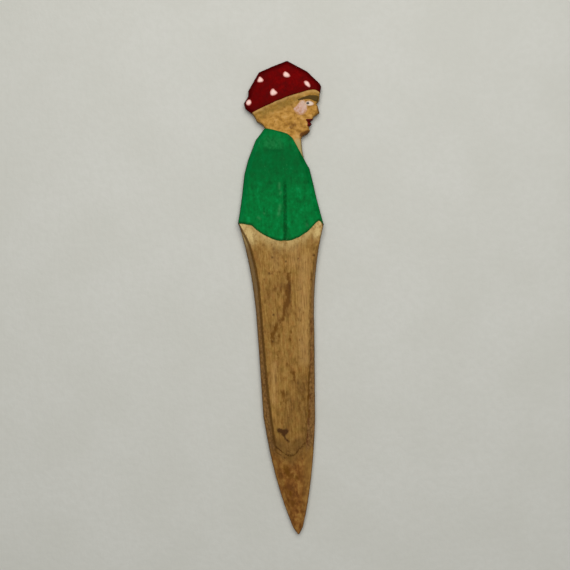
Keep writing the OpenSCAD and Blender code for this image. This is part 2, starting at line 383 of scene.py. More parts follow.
# Sizes in mm, and rises and falls in mm per mm
POINT_HEIGHT, POINT_RISE = 0.6, 1.6 / 34    # the point's facet at its tip, and its rise towards the chevron
PANEL_STEP, MARGIN_SLOPE = 0.22, 0.56       # drop from the panel to its margins, and their fall after it
GROOVE_DEPTH, GROOVE_WIDTH = 0.16, 0.22     # groove along the panel
SCRATCH_DEPTH, SCRATCH_WIDTH = 0.14, 0.35   # knife cut along the chevron
TUNIC_ARRIS, TUNIC_CHAMFER = 0.85, 0.82     # height of the tunic's edge, and the rise of its chamfer
CAP_ARRIS, CAP_CHAMFER = 0.8, 0.78          # the same for the cap
THROAT_ARRIS, THROAT_CHAMFER = 0.9, 0.8     # and for the throat
CHEST_FOOT, CHEST_FALL = 155.6, 0.045       # y where the chest starts to fall, and its fall
CRACK_DEPTH = 0.3                           # crack in the tunic
EDGE_RADIUS, LEAST_HEIGHT = 0.32, 0.12      # wear of the sharp edges, and the thinnest wood from the middle


def gaps(x, y):
    """Distances in mm to the lines that the knife and the brush follow: edge to the outline, and the
    others signed, positive past each line."""
    left, right = border_x(LEFT_BORDER, y) - x, x - border_x(RIGHT_BORDER, y)
    return SimpleNamespace(
        edge=distance_to(OUTLINE, x, y),
        seam=np.clip(np.maximum(left, right), -6, 6),
        vee=np.clip(line_y(CHEVRON, x) - y, -8, 60),
        hem=line_y(HEM, x) - y,
        neck=y - line_y(NECKLINE, x),
        rim=y - line_y(RIM, x),
    )


def blade_height(x, y, g, seed):
    """Raised panel, chevron, point facet and bevelled margins."""
    half_width = (border_x(RIGHT_BORDER, y) - border_x(LEFT_BORDER, y)) / 2
    middle = (border_x(RIGHT_BORDER, y) + border_x(LEFT_BORDER, y)) / 2
    crown = 0.14 * np.clip((x - middle) / half_width, -1, 1) ** 2
    panel = HALF - 0.05 - crown
    facet = np.minimum(POINT_HEIGHT + POINT_RISE * np.clip(y, 0, 45) - 0.25 * crown, panel - 0.14)
    wobble = 0.12 * smooth_noise(x, y, 1.1, 1.1, seed + 1)
    face = panel + (facet - panel) * ramp(g.vee + wobble, -0.2, 0.7)
    past = g.seam + 0.1 * smooth_noise(x, y, 2, 5, seed + 2)
    above = 1 - 0.85 * ramp(g.vee, 0, 5)
    step = PANEL_STEP * ramp(past, -0.05, 0.25) * above
    margin = face - step - MARGIN_SLOPE * np.maximum(past, 0)
    groove = GROOVE_DEPTH * bell(past - 0.05, GROOVE_WIDTH) * np.where(x < 0, 1, 0.6) * above
    nicked = 0.5 + 0.5 * smooth_noise(x, y, 0.9, 0.9, seed + 10)
    scratch = SCRATCH_DEPTH * bell(g.vee + wobble - 0.1, SCRATCH_WIDTH)
    groove = groove + scratch * ramp(-g.seam, -0.2, 0.8) * nicked
    return np.maximum(np.where(past > 0, margin, face - step) - groove, 0.3)


def tunic_height(x, y, g, seed):
    """Body under the tunic: a flat face that falls to the chest, with a chamfer down each side."""
    body, head = HALF - BODY_DROP, HALF - HEAD_DROP
    land = np.interp(y, [0, 148, 166, 220], [body, body, head, head])
    waist = np.where(x < 0, WAIST_LEFT[1] + 0.3, WAIST_RIGHT[1] - 0.2)
    run_out = 1.3 * (1 - ramp(y - waist, -1, 6))
    chamfer = TUNIC_ARRIS + run_out + TUNIC_CHAMFER * g.edge + 0.05 * smooth_noise(x, y, 3, 7, seed + 3)
    breast = body - CHEST_FALL * np.maximum(y - CHEST_FOOT - 0.1 * x, 0)
    land = np.minimum(land, breast)
    crack_width = 0.2 + 0.22 * ramp(y, 106, 116) * (1 - ramp(y, 130, 143))
    crack = CRACK_DEPTH * glow(CRACK, x, y, crack_width) * ramp(y, 106.5, 111) * (1 - ramp(y, 136, 143))
    return np.minimum(land, chamfer) - crack


def head_height(x, y, g, seed):
    """Flat head with the face lightly carved: brow, socket, cheek, nose, mouth, jaw and throat."""
    z = np.full(x.shape, HALF - HEAD_DROP)
    z += 0.22 * np.exp(-((np.hypot(x - CHEEK[0], y - CHEEK[1]) / 2.5) ** 4))
    z -= 0.34 * np.exp(-(((x - EYE[0]) / 2.5) ** 2 + ((y - EYE[1]) / 1.25) ** 2) ** 1.5)
    z += 0.14 * np.exp(-(((x - EYE[0]) / 1.5) ** 2 + ((y - EYE[1]) / 0.75) ** 2))
    for line, reach, rise in FACE_RELIEF:
        z += rise * glow(line, x, y, reach)
    z -= 0.3 * glow(JAW, x, y, 0.7) * (1 - ramp(y, 165, 169.5))
    z -= 0.35 * ramp(line_y(UNDER_JAW, x) - y, -0.2, 0.8) * ramp(x, 3.5, 6.5)
    z -= 0.16 * glow(HAIRLINE, x, y, 0.45)
    z += 0.05 * smooth_noise(x, y, 1.3, 0.9, seed + 4) * ramp(g.rim, -6, -2)
    soft = np.clip(1 - g.edge / 1.1, 0, 1) ** 2
    z -= 0.6 * soft * (1 - ramp(g.rim, -1.2, 0))
    throat = THROAT_ARRIS + THROAT_CHAMFER * g.edge
    return np.where(y < UNDER_JAW[-1][1], np.minimum(z, throat), z)


def cap_height(x, y, g, seed):
    """Cap: broad knife facets that fall away from its middle, a chamfered crown and a softened rim."""
    z = HALF - CAP_DROP - 0.02 * np.abs(x - 7) - 0.025 * np.maximum(y - 181, 0)
    z -= 0.05 * np.maximum(-4.6 - x, 0)
    z += 0.05 * smooth_noise(x, y, 6, 6, seed + 5)
    chamfer = CAP_ARRIS + CAP_CHAMFER * g.edge + 0.06 * smooth_noise(x, y, 4, 4, seed + 6)
    z = np.minimum(z, chamfer)
    lip = np.clip(1 - g.rim / 0.6, 0, 1) ** 2
    return z - 0.1 * lip


def carved(x, y, face):
    """Height of the bare carved wood above the board's middle, on either face."""
    seed = 100 if face == FRONT else 300
    g = gaps(x, y)
    z = blade_height(x, y, g, seed)
    tunic = tunic_height(x, y, g, seed)
    z = z + (tunic - z) * (1 - ramp(g.hem, -0.35, 0))
    head = head_height(x, y, g, seed)
    z = z + (head - z) * ramp(g.neck, -0.1, 0.5) * ramp(y, 149, 151)
    z = z + (cap_height(x, y, g, seed) - z) * ramp(g.rim, -0.15, 0.12)
    fibres = 0.018 * smooth_noise(x, y, 0.3, 11, seed + 7) + 0.02 * smooth_noise(x, y, 0.7, 25, seed + 8)
    cuts = 0.035 * smooth_noise(x, y, 3.5, 16, seed + 9)
    inset = np.maximum(EDGE_RADIUS - g.edge, 0)
    arris = EDGE_RADIUS - np.sqrt(EDGE_RADIUS ** 2 - inset ** 2)
    return np.clip(z + fibres + cuts - arris, LEAST_HEIGHT, HALF - 0.01)


# ---------------- meshes

def placed(points):
    """Drawn millimetres to metres in the frame."""
    return (np.asarray(points, float) + (ORIGIN_X, ORIGIN_Y, ORIGIN_Z)) * MM


def add_piece(name, points, faces, node, material, marks):
    """Makes one shown piece: its mesh, the values its material reads, and its place in the frame."""
    mesh = bpy.data.meshes.new(name)
    mesh.from_pydata(placed(points).tolist(), [], [tuple(f) for f in faces])
    for key, values in marks.items():
        attribute = mesh.attributes.new(key, "FLOAT", "POINT")
        attribute.data.foreach_set("value", np.asarray(values, np.float32))
    mesh.shade_smooth()
    mesh.materials.append(material)
    mesh.update()
    piece = bpy.data.objects.new(name, mesh)
    bpy.context.scene.collection.objects.link(piece)
    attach(piece, "root")
    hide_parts(node)


def plan_grid():
    """The board's plan as one grid of rows and columns, with the row at which each band starts."""
    left_low, right_low = CHEVRON[0][1], CHEVRON[-1][1]
    left_point = stretch_of(LEFT_BLADE, TIP_LEFT[1], left_low)
    right_point = stretch_of(RIGHT_BLADE, TIP_RIGHT[1], right_low)
    left_blade = stretch_of(LEFT_BLADE, left_low, WAIST_LEFT[1])
    right_blade = stretch_of(RIGHT_BLADE, right_low, WAIST_RIGHT[1])
    bands = [
        ("point", TIP, CHEVRON, left_point, right_point, crowded(78, 0.6, 0.5, 0.05)),
        ("blade", CHEVRON, HEM, left_blade, right_blade, crowded(178, 0.5, 0.5, 0.02)),
        ("tunic", HEM, NECKLINE, LEFT_TUNIC, RIGHT_TUNIC, crowded(82, 0.6, 0.6, 0.03)),
        ("head", NECKLINE, RIM, LEFT_HEAD, FACE, crowded(80, 0.5, 0.5, 0.03)),
        ("cap", RIM, CROWN, LEFT_CAP, RIGHT_CAP, crowded(52, 0.6, 0.75, 0.08)),
    ]
    grid, starts = [], {}
    for name, bottom, top, left, right, shares in bands:
        starts[name] = sum(len(part) for part in grid) - (1 if grid else 0)
        rows = patch(bottom, top, left, right, shares)
        grid.append(rows[1:] if grid else rows)
    return np.concatenate(grid), starts


def edge_rings(outline, upper, lower):
    """Rings of points down the board's edge, bulging a little between the heights of its two faces."""
    along = np.roll(outline, -1, 0) - np.roll(outline, 1, 0)
    outward = np.stack([along[:, 1], -along[:, 0]], 1) / np.maximum(np.hypot(*along.T), 1e-6)[:, None]
    rings = []
    for k, share in enumerate((0.2, 0.5, 0.8)):
        level = upper * (1 - share) + lower * share
        bulge = 0.05 + 0.04 * smooth_noise(outline[:, 0] + 9 * k, outline[:, 1], 1.5, 3, 500 + k)
        rings.append(np.column_stack([outline + outward * bulge[:, None], level]))
    return rings


def board():
    """The carved board's points and faces, each face's row in the plan grid, and where the bands start."""
    plan, starts = plan_grid()
    rows, columns = plan.shape[:2]
    x, y = plan[..., 0], plan[..., 1]
    top = np.dstack([x, y, carved(x, y, FRONT)]).reshape(-1, 3)
    bottom = np.dstack([x, y, -carved(x, y, BACK)]).reshape(-1, 3)
    n = rows * columns
    index = np.arange(n).reshape(rows, columns)
    quads = np.stack([index[:-1, :-1], index[:-1, 1:], index[1:, 1:], index[1:, :-1]], -1).reshape(-1, 4)
    quad_row = np.repeat(np.arange(rows - 1), columns - 1)
    loop = np.concatenate([index[0, :-1], index[:-1, -1], index[-1, :0:-1], index[:0:-1, 0]])
    between = edge_rings(plan.reshape(-1, 2)[loop], top[loop, 2], bottom[loop, 2])
    rings = [2 * n + k * len(loop) + np.arange(len(loop)) for k in range(len(between))]
    rings = [loop] + rings + [loop + n]
    walls = []
    for upper, lower in zip(rings[:-1], rings[1:]):
        walls.append(np.stack([lower, np.roll(lower, -1), np.roll(upper, -1), upper], 1))
    loop_row = np.minimum(loop // columns, rows - 2)
    wall_row = np.minimum(loop_row, np.roll(loop_row, -1))
    faces = np.concatenate([quads, quads[:, ::-1] + n] + walls)
    face_rows = np.concatenate([quad_row, quad_row] + [wall_row] * len(walls))
    return np.concatenate([top, bottom] + between), faces, face_rows, starts


def normals_of(points, faces):
    """Outward direction at each point of a closed mesh."""
    a, b = points[faces[:, 2]] - points[faces[:, 0]], points[faces[:, 3]] - points[faces[:, 1]]
    across = np.cross(a, b)
    total = np.zeros_like(points)
    for k in range(4):
        np.add.at(total, faces[:, k], across)
    return total / np.maximum(np.linalg.norm(total, axis=1), 1e-12)[:, None]


def coat(points, normals, faces, lift):
    """Closed layer of paint over some of the board's faces. lift is its height over the wood at each
    point, and its inner side lies in the wood. Also gives the points of the board that it covers."""
    used, flat = np.unique(faces, return_inverse=True)
    flat = flat.reshape(faces.shape)
    n = len(used)
    outer = points[used] + normals[used] * lift[used, None]
    inner = points[used] - normals[used] * COAT
    starts, ends = flat.ravel(), np.roll(flat, -1, 1).ravel()
    lonely = ~np.isin(starts * n + ends, ends * n + starts)
    a, b = starts[lonely], ends[lonely]
    sides = np.stack([b, a, a + n, b + n], 1)
    return np.concatenate([outer, inner]), np.concatenate([flat, flat[:, ::-1] + n, sides]), used


def wood_marks(x, y, side, g):
    """Values that the bare wood's material reads at each point."""
    front = side == FRONT
    streak = glow(STREAK, x, y, 1.05) * (0.72 + 0.5 * glow(STREAK[2:4], x, y, 4))
    stain = strongest(STAINS, x, y)
    for spot_x, spot_y, size in SPOTS:
        stain = np.maximum(stain, bell(np.hypot(x - spot_x, y - spot_y), 1.4 * size))
    stain = stain * front
    rng = np.random.default_rng(41)
    for _ in range(64):
        spot_x, spot_y = rng.uniform(-9, 9), rng.uniform(8, 122)
        size, depth, face = rng.uniform(0.25, 0.55), rng.uniform(0.35, 0.85), rng.choice([FRONT, BACK])
        spot = depth * np.exp(-((x - spot_x) / size) ** 2 - ((y - spot_y) / (size * 1.7)) ** 2)
        stain = np.maximum(stain, spot * (side == face))
    # Painted light beside the hem and at the waist's corners, a pale band under the rim, and painted light
    # on the chest's bare chamfer.
    pale = bell(g.hem, 3.4) * (g.hem > -0.5) * 0.75
    pale = np.maximum(pale, strongest(PALE_CORNERS, x, y))
    pale = np.maximum(pale, bell(g.rim + 0.5, 0.6) * 0.5)
    pale = np.maximum(pale, glow(CHEST, x, y, 1.4) * (y > 149) * 1.4)
    head = ramp(g.neck, -0.5, 0.3) * ramp(y, 148, 150)
    hair = bell(g.rim + 2.1, 2.4) * (1 - 0.5 * ramp(x, 8, 14)) * (1 - 0.3 * ramp(-x, 4, 7))
    # Painted shade in the jaw's carved groove.
    dirt_and_shade = glow(JAW, x, y, 0.6) * 0.5 * (1 - ramp(y, 165, 168))
    return {
        "edge": g.edge,
        "seam": g.seam,
        "vee": g.vee,
        "stain": stain,
        "streak": np.maximum(streak, strongest(FAINT_STREAKS, x, y)) * front,
        "pale": pale,
        "head": head,
        "hair": 0.95 * hair * head,
        # Painted light on the bare chamfer at the front of the chest.
        "chest": glow(CHEST, x, y, 1.6) * ramp(y, 148, 150) * (1 - ramp(y, 156, 160)),
        "light": strongest(PALE_PATCHES, x * side, y),
        "shade": strongest(DARK_PATCHES, x * side, y),
        "dirt_and_shade": np.maximum(dirt_and_shade, strongest(DIRT_AND_SHADE, x, y)),
    }


def tunic_marks(x, y, side, g):
    """Values that the green paint's material reads at each point."""
    over = y - line_y(PATCH_EDGE, x)
    between = ramp(x, -5.4, -3.8) * (1 - ramp(x, 0.5, 4.5)) * (side == FRONT)
    return {
        "edge": g.edge,
        "hem": -g.hem,
        "neck": -g.neck,
        "crack": glow(CRACK, x, y, 0.9) * ramp(145.5 - y, 0, 7),
        # Painted light on the chest's upper facet above the crease, and painted shade just below the
        # crease.
        "patch": ramp(over, -0.3, 0.6) * (1 - ramp(over, 2, 7)) * between,
        "crease_shade": bell(over + 0.5, 0.6) * between,
        "worn": strongest(WORN, x, y) * (side == FRONT),
    }


def tunic_lift(x, y, g):
    """Thickness of the green coat: brushed lengthwise, with a bead at the hem and the neckline."""
    brush = 0.02 * smooth_noise(x, y, 1.1, 9, 21) + 0.01 * smooth_noise(x, y, 0.6, 3, 22)
    bead = 0.06 * bell(g.hem, 0.6) + 0.04 * bell(g.neck, 0.5)
    return COAT + brush * ramp(-g.hem, 0, 1) + bead


def cap_lift(x, y, g):
    """Thickness of the red coat, with a bead along the rim."""
    brush = 0.03 * smooth_noise(x, y, 1.1, 1.3, 31) + 0.015 * smooth_noise(x, y, 0.5, 0.6, 32)
    return COAT + brush + 0.05 * bell(g.rim, 0.5)


def lip_depth(x, y):
    """Distance in mm inside the painted lips, negative outside them."""
    depth = distance_to(LIPS + LIPS[:1], x, y) * np.where(inside(LIPS, x, y), 1, -1)
    return depth + 0.12 * smooth_noise(x, y, 0.5, 0.5, 51)


def build_board(materials):
    """The carved board, its two big coats of paint and the paint on the lips, which share its points."""
    points, faces, rows, starts = board()
    normals = normals_of(points, faces)
    x, y = points[:, 0], points[:, 1]
    side = np.where(points[:, 2] >= 0, FRONT, BACK)
    g = gaps(x, y)
    add_piece("carved_board", points, faces, "carved_stick", materials["bare_wood"],
              wood_marks(x, y, side, g))

    tunic = faces[(rows >= starts["tunic"]) & (rows < starts["head"])]
    cap = faces[rows >= starts["cap"]]
    depth = lip_depth(x, y)
    lips = faces[(depth[faces] > -0.7).all(1) & (x[faces] > 12).all(1)]
    lips_lift = -0.06 + 0.13 * ramp(depth, -0.35, 0.2)
    cap_marks = {"edge": g.edge, "rim": g.rim}
    for name, node, slot, covered, lift, marks in (
        ("tunic_coat", "tunic_paint", "green_paint", tunic, tunic_lift(x, y, g),
         tunic_marks(x, y, side, g)),
        ("cap_coat", "cap_paint", "red_paint", cap, cap_lift(x, y, g), cap_marks),
        ("lip_coat", "lip_paint", "lip_paint", lips, lips_lift, {"depth": depth}),
    ):
        coat_points, coat_faces, used = coat(points, normals, covered, lift)
        add_piece(name, coat_points, coat_faces, node, materials[slot],
                  {key: np.tile(values[used], 2) for key, values in marks.items()})


def cap_surface(x, y, face):
    """Height of the painted cap, which the dabs sit on."""
    return carved(x, y, face) + COAT


def white_surface(x, y, face):
    """Height of the painted white of the eye, which the pupil sits on."""
    return carved(x, y, face) + 0.12


def rounded(points, turns=3):
    """A closed line with its corners cut again and again until it is smooth."""
    points = np.asarray(points, float)
    for _ in range(turns):
        ahead = np.roll(points, -1, 0)
        points = np.stack([0.75 * points + 0.25 * ahead, 0.25 * points + 0.75 * ahead], 1).reshape(-1, 2)
    return points


def blob(shape, height, face, surface, rings=9, fullness=2.2, sink=0.1):
    """Closed dab of paint with a hand-drawn outline, highest in the middle, sitting on a surface."""
    shape = np.asarray(shape, float)
    middle = shape.mean(0)
    n = len(shape)
    shares = np.sqrt(np.linspace(0, 1, rings + 1))[1:]
    x, y = np.vstack([middle, (middle + shares[:, None, None] * (shape - middle)).reshape(-1, 2)]).T
    share = np.concatenate([[0], np.repeat(shares, n)])
    ground = surface(x, y, face)
    swell = height * np.maximum(1 - share ** fullness, 0) ** 0.6
    swell = swell * (1 + 0.14 * smooth_noise(x, y, 0.7, 0.7, 61)) - 0.02 * (share == 1)
    upper, lower = ground + swell, ground - sink
    points = np.column_stack([np.tile(x, 2), np.tile(y, 2), np.concatenate([upper, lower]) * face])
    total, faces = len(x), []
    k = np.arange(n)
    ahead = (k + 1) % n
    for r in range(rings - 1):
        a, b = 1 + r * n, 1 + (r + 1) * n
        faces += np.stack([a + k, b + k, b + ahead, a + ahead], 1).tolist()
    faces += [[0, 1 + i, 1 + (i + 1) % n] for i in range(n)]
    faces += [[i + total for i in f[::-1]] for f in faces]
    last = 1 + (rings - 1) * n
    faces += np.stack([last + k, last + k + total, last + ahead + total, last + ahead], 1).tolist()
    turning = np.sum(shape[:, 0] * np.roll(shape[:, 1], -1) - np.roll(shape[:, 0], -1) * shape[:, 1])
    if turning * face < 0:
        faces = [f[::-1] for f in faces]
    return points, faces, np.tile(share, 2)


def ribbon(line, widths, height, face, surface, seed, ragged=0.08):
    """Closed stroke of paint along a line, with its width in mm at each point of the line."""
    along, across = np.linspace(0, 1, 61), np.linspace(-1, 1, 11)
    centre = spread(line, along)
    centre[:, 1] = np.convolve(np.pad(centre[:, 1], 5, "edge"), np.ones(11) / 11, "valid")
    step = np.gradient(centre, axis=0)
    normal = np.stack([-step[:, 1], step[:, 0]], 1) / np.hypot(*step.T)[:, None]
    width = np.interp(along, np.linspace(0, 1, len(widths)), widths) / 2
    x = centre[:, :1] + normal[:, :1] * width[:, None] * across
    y = centre[:, 1:] + normal[:, 1:] * width[:, None] * across
    x = x + ragged * smooth_noise(x, y, 0.5, 0.5, seed)
    y = y + ragged * smooth_noise(x, y, 0.5, 0.5, seed + 1)
    ends = np.minimum(1, np.minimum(along, 1 - along) * 14)[:, None]
    swell = height * np.sqrt(np.maximum(1 - np.abs(across) ** 3, 0))[None] * ends
    ground = surface(x, y, face)
    upper, lower = np.dstack([x, y, ground + swell - 0.01]), np.dstack([x, y, ground - 0.1])
    rows, columns = x.shape
    n = rows * columns
    index = np.arange(n).reshape(rows, columns)
    quads = np.stack([index[:-1, :-1], index[1:, :-1], index[1:, 1:], index[:-1, 1:]], -1).reshape(-1, 4)
    loop = np.concatenate([index[:-1, 0], index[-1, :-1], index[:0:-1, -1], index[0, :0:-1]])
    ahead = np.roll(loop, -1)
    sides = np.stack([ahead, loop, loop + n, ahead + n], 1)
    faces = np.concatenate([quads, quads[:, ::-1] + n, sides])
    points = np.concatenate([upper.reshape(-1, 3), lower.reshape(-1, 3)]) * (1, 1, face)
    if face == BACK:
        faces = faces[:, ::-1]
    return points, faces.tolist(), np.zeros(2 * n)


def joined(parts):
    """Several separate solids as one mesh."""
    points, faces, marks, start = [], [], [], 0
    for part_points, part_faces, part_marks in parts:
        points.append(part_points)
        faces += [[i + start for i in f] for f in part_faces]
        marks.append(part_marks)
        start += len(part_points)
    return np.concatenate(points), faces, np.concatenate(marks)


def wobbly_oval(centre, radius_x, radius_y, lean, rough, seed, n):
    """A hand-painted oval that leans by some degrees and swings in and out by the share rough."""
    turn = np.linspace(0, 2 * np.pi, n, endpoint=False)
    rng = np.random.default_rng(seed)
    swing = sum(rng.uniform(-1, 1) * np.cos(k * turn + rng.uniform(0, 6.3)) / k for k in range(2, 7))
    x = radius_x * (1 + rough * swing) * np.cos(turn)
    y = radius_y * (1 + rough * swing) * np.sin(turn)
    c, s = math.cos(math.radians(lean)), math.sin(math.radians(lean))
    return np.stack([centre[0] + c * x - s * y, centre[1] + s * x + c * y], 1)


def build_dabs(material):
    """Five raised dabs of white paint on each side of the cap, a little moved on the back."""
    at_cap_edge = -9
    parts = []
    for face, shift in ((FRONT, (0, 0)), (BACK, (0.5, -0.4))):
        for shape in DABS:
            drawn = rounded(np.add(shape, shift if shape[0][0] > at_cap_edge else 0))
            parts.append(blob(drawn, 0.42, face, cap_surface, sink=0.2))
    points, faces, share = joined(parts)
    add_piece("cap_dabs", points, faces, "cap_dots", material, {"share": share})


def cheek_shape(seed):
    """The cheek's outline: an uneven round that reaches up to the eye on its right."""
    shape = rounded(CHEEK_PATCH)
    sway = [smooth_noise(shape[:, 0], shape[:, 1], 1.1, 1.1, seed + k) for k in (0, 1)]
    return shape + 0.22 * np.stack(sway, 1)


def build_face_paint(materials):
    """Cheek, white of the eye, pupil and eyebrow, painted on both sides of the head. The eyebrow also
    stands for the shade under the brow ridge.
    """
    cheeks, whites, pupils, brows = [], [], [], []
    for face, seed in ((FRONT, 5), (BACK, 15)):
        cheeks.append(blob(cheek_shape(seed), 0.08, face, carved, 12, 6))
        whites.append(blob(rounded(EYE_WHITE), 0.14, face, carved, 9, 4))
        pupil = wobbly_oval(PUPIL, 0.66, 0.52, 10, 0.1, seed + 2, 32)
        pupils.append(blob(pupil, 0.1, face, white_surface, 6, 3, 0.06))
        # The dark eyebrow stroke is painted brow and painted shade in the socket under the brow ridge.
        brows.append(ribbon(BROW, BROW_WIDTHS, 0.12, face, carved, seed + 60))
    for name, node, slot, parts in (
        ("cheek_patch", "cheek_paint", "pink_paint", cheeks),
        ("eye_white_dab", "eye_whites", "eye_white_paint", whites),
        ("pupil_dab", "eye_pupils", "black_paint", pupils),
        ("eyebrow_and_shade_stroke", "eyebrow_paint", "brown_paint", brows),
    ):
        points, faces, share = joined(parts)
        add_piece(name, points, faces, node, materials[slot], {"share": share})


# ---------------- materials

def srgb(red, green, blue):
    """A colour picked on screen, 0 to 255, as the linear colour that shaders take."""
    parts = [c / 255 for c in (red, green, blue)]
    return tuple(c / 12.92 if c <= 0.04045 else ((c + 0.055) / 1.055) ** 2.4 for c in parts) + (1,)


class Field:
    """A node's output, as a number that varies over the surface and can be added, multiplied and so on."""

    def __init__(self, nodes, socket):
        self.nodes = nodes
        self.socket = socket

    def __add__(self, other):
        return self.nodes.math("ADD", self, other)

    def __sub__(self, other):
        return self.nodes.math("SUBTRACT", self, other)

    def __rsub__(self, other):
        return self.nodes.math("SUBTRACT", other, self)

    def __mul__(self, other):
        return self.nodes.math("MULTIPLY", self, other)

    def __abs__(self):
        return self.nodes.math("ABSOLUTE", self, 0)

    def or_more(self, other):
        """The greater of this and another field."""
        return self.nodes.math("MAXIMUM", self, other)


class Nodes:
    """A material's node tree, with one short call for each kind of node and the colour mixed so far."""

    def __init__(self, name):
        self.material = bpy.data.materials.new(name)
        self.material.use_nodes = True
        self.tree = self.material.node_tree
        self.shader = self.tree.nodes["Principled BSDF"]
        coordinates = self.tree.nodes.new("ShaderNodeTexCoord").outputs["Object"]
        self.mm = self.node("VectorMath", 0, {0: coordinates, "Scale": 1 / MM}, operation="SCALE")
        self.colour = None

    def put(self, socket, value):
        """Links an output to a socket, or sets a plain value on it."""
        if isinstance(value, Field):
            value = value.socket
        if isinstance(value, bpy.types.NodeSocket):
            self.tree.links.new(value, socket)
        else:
            socket.default_value = value

    def node(self, kind, output, inputs, **settings):
        """A new node's output, with the node's settings made first and then its inputs."""
        node = self.tree.nodes.new("ShaderNode" + kind)
        for key, value in settings.items():
            setattr(node, key, value)
        for key, value in inputs.items():
            self.put(node.inputs[key], value)
        return node.outputs[output]

    def noise(self, across, along, detail=3, roughness=0.5, distortion=0.0):
        """Noise from 0 to 1, with features of the given sizes in mm across and along the board."""
        scale = (1 / across, 1 / along, 1 / across)
        place = self.node("Mapping", 0, {"Vector": self.mm, "Scale": scale})
        return Field(self, self.node("TexNoise", "Fac", {
            "Vector": place, "Scale": 1, "Detail": detail, "Roughness": roughness, "Distortion": distortion,
        }))

    def mark(self, name):
        """A value stored on the mesh."""
        return Field(self, self.node("Attribute", "Fac", {}, attribute_name=name))

    def along(self, axis):
        """Position in mm along an axis of the frame."""
        return Field(self, self.node("SeparateXYZ", axis, {0: self.mm}))

    def math(self, operation, a, b):
        """One sum of two values."""
        return Field(self, self.node("Math", 0, {0: a, 1: b}, operation=operation))

    def span(self, value, low, high, to_low=0.0, to_high=1.0):
        """A smooth step from to_low at low to to_high at high."""
        ends = {"From Min": low, "From Max": high, "To Min": to_low, "To Max": to_high}
        return Field(self, self.node("MapRange", "Result", {"Value": value, **ends},
                                     interpolation_type="SMOOTHSTEP"))

    def mix(self, share, a, b):
        """Colour a with b mixed over it by share. The node keeps its colour inputs at 6 and 7."""
        return self.node("Mix", 2, {"Factor": share, 6: a, 7: b}, data_type="RGBA")

    def tint(self, share, colour):
        """Mixes a colour by share over the colour so far."""
        self.colour = self.mix(share, self.colour, colour)

    def ramp(self, value, *stops):
        """Colour along a row of (place, colour) stops."""
        node = self.tree.nodes.new("ShaderNodeValToRGB")
        elements = node.color_ramp.elements
        while len(elements) < len(stops):
            elements.new(0.5)
        for element, (place, colour) in zip(elements, stops):
            element.position = place
            element.color = colour
        self.put(node.inputs[0], value)
        return node.outputs[0]

    def bump(self, height, depth, strength=1.0, below=None):
        """Fine relief of the given depth in mm, over another one if below is given."""
        inputs = {"Strength": strength, "Distance": depth * MM, "Height": height}
        if below is not None:
            inputs["Normal"] = below
        return self.node("Bump", 0, inputs)

    def finish(self, roughness, normal, gloss):
        """Sets the shader with the colour so far and returns the material."""
        self.put(self.shader.inputs["Base Color"], self.colour)
        self.put(self.shader.inputs["Roughness"], roughness)
        self.put(self.shader.inputs["Normal"], normal)
        self.put(self.shader.inputs["Specular IOR Level"], gloss)
        return self.material


def wood_tone(m, fibres, patches, mottle, clumps):
    """The wood's own colour: fibres, bands, cloudy patches and flecks."""
    bands = m.noise(1.7, 40, 3, 0.55, 0.3)
    tone = fibres * 0.3 + bands * 0.2 + patches * 0.25 + mottle * 0.25
    m.colour = m.ramp(tone, (0.38, srgb(108, 72, 24)), (0.46, srgb(144, 104, 44)),
                      (0.53, srgb(164, 123, 58)), (0.62, srgb(190, 150, 82)))
    hue = m.noise(1.6, 3, 3, 0.6)
    m.tint(m.span(hue, 0.52, 0.66, 0, 0.35), srgb(178, 122, 60))
    m.tint(m.span(hue, 0.48, 0.34, 0, 0.4), srgb(142, 114, 46))
    where = m.span(m.noise(5, 9, 2), 0.4, 0.6, 0.1, 0.6)
    m.tint(m.span(clumps, 0.5, 0.66) * where, srgb(114, 80, 22))
    m.tint(m.span(clumps, 0.47, 0.34, 0, 0.28), srgb(190, 152, 86))
    m.tint(0.18, srgb(112, 74, 24))
    m.tint(m.mark("light") * m.span(fibres, 0.35, 0.6, 0.35, 1), srgb(198, 156, 94))
    m.tint(m.mark("shade") * m.span(mottle, 0.6, 0.35, 0.6, 1), srgb(92, 60, 18))
    flecks = m.noise(0.22, 1.1, 2, 0.5)
    m.tint(m.span(flecks, 0.62, 0.74, 0, 0.25), srgb(104, 70, 32))


def wood_point(m, vee, ragged, mottle):
    """Painted shade that darkens the blade towards the point, and orange-brown stain from the chevron down
    to the point.
    """
    # Painted shade, darker over the last 8 mm above the chevron and below it.
    m.tint(m.span(vee, -8, -1, 0, 0.4), srgb(88, 58, 22))
    smear = m.noise(2.4, 3.4, 2) * 0.6 + mottle * 0.4
    orange = m.ramp(smear, (0.38, srgb(104, 58, 14)), (0.5, srgb(136, 86, 32)), (0.62, srgb(164, 118, 54)))
    orange = m.mix(m.span(m.along("X"), 0, 5, 0, 0.5), orange, srgb(170, 130, 62))
    m.tint(m.span(vee + ragged * 3, 0, 7) * 0.85, orange)


